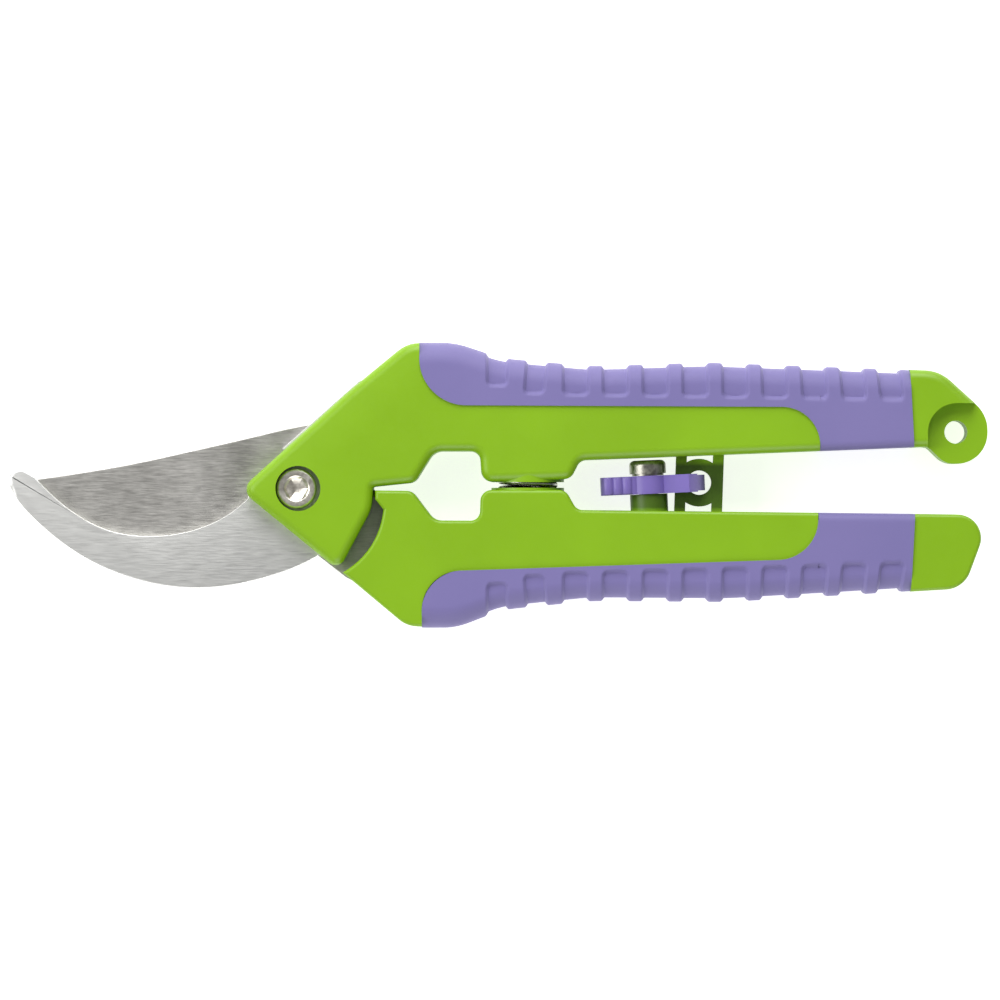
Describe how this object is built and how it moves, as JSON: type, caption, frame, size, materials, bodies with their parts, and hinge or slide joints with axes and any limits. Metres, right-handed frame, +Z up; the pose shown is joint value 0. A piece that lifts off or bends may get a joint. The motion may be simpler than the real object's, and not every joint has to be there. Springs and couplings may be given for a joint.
{
  "type": "bypass pruner",
  "caption": "hand-held bypass pruner with a hooked counter blade, a curved cutting blade, two-tone ribbed grips, a coil return spring and a thumb latch",
  "frame": {"origin": "under the middle of the closed pruner's box, on the surface that it lies on with both grips' backs", "axes": "+X from the jaw tips to the handle ends, +Y towards the handle that carries the hook jaw, +Z up, out of the face with the socket-head bolt"},
  "size_m": [0.2002, 0.0582, 0.0164],
  "materials": {
    "green_nylon": "bright green glass-filled nylon, moulded, satin",
    "lilac_rubber": "lilac thermoplastic rubber overmould, fine matt texture",
    "lilac_plastic": "lilac moulded plastic, half gloss",
    "satin_steel": "satin ground steel",
    "ground_steel": "fine ground blade steel, slightly darker",
    "nickel_steel": "nickel plated steel",
    "zinc_steel": "zinc plated steel",
    "spring_steel": "plated spring wire",
    "white_nylon": "natural nylon locking ring"
  },
  "bodies": {
    "upper": {"upper_handle_body": "green_nylon", "upper_handle_grip": "lilac_rubber", "counter_blade": "satin_steel", "return_spring": "spring_steel"},
    "lower": {"lower_handle_body": "green_nylon", "lower_handle_grip": "lilac_rubber", "cutting_blade": "ground_steel", "pivot_bolt": "nickel_steel", "pivot_washer": "zinc_steel", "pivot_nut": "zinc_steel", "pivot_nut_insert": "white_nylon", "latch_screw": "zinc_steel", "latch_washer": "zinc_steel"},
    "latch": {"latch_lever": "lilac_plastic"}
  },
  "joints": [
    {"name": "pivot", "type": "hinge", "parent": "upper", "child": "lower", "pos_m": [-0.04099, -0.00068, 0.008], "axis": [0, 0, -1], "range_deg": [0, 30], "deforming": ["return_spring"]},
    {"name": "latch_turn", "type": "hinge", "parent": "lower", "child": "latch", "pos_m": [0.03093, 0.00007, 0.008], "axis": [0.0436, -0.999, 0], "range_deg": [-19, 25]}
  ]
}
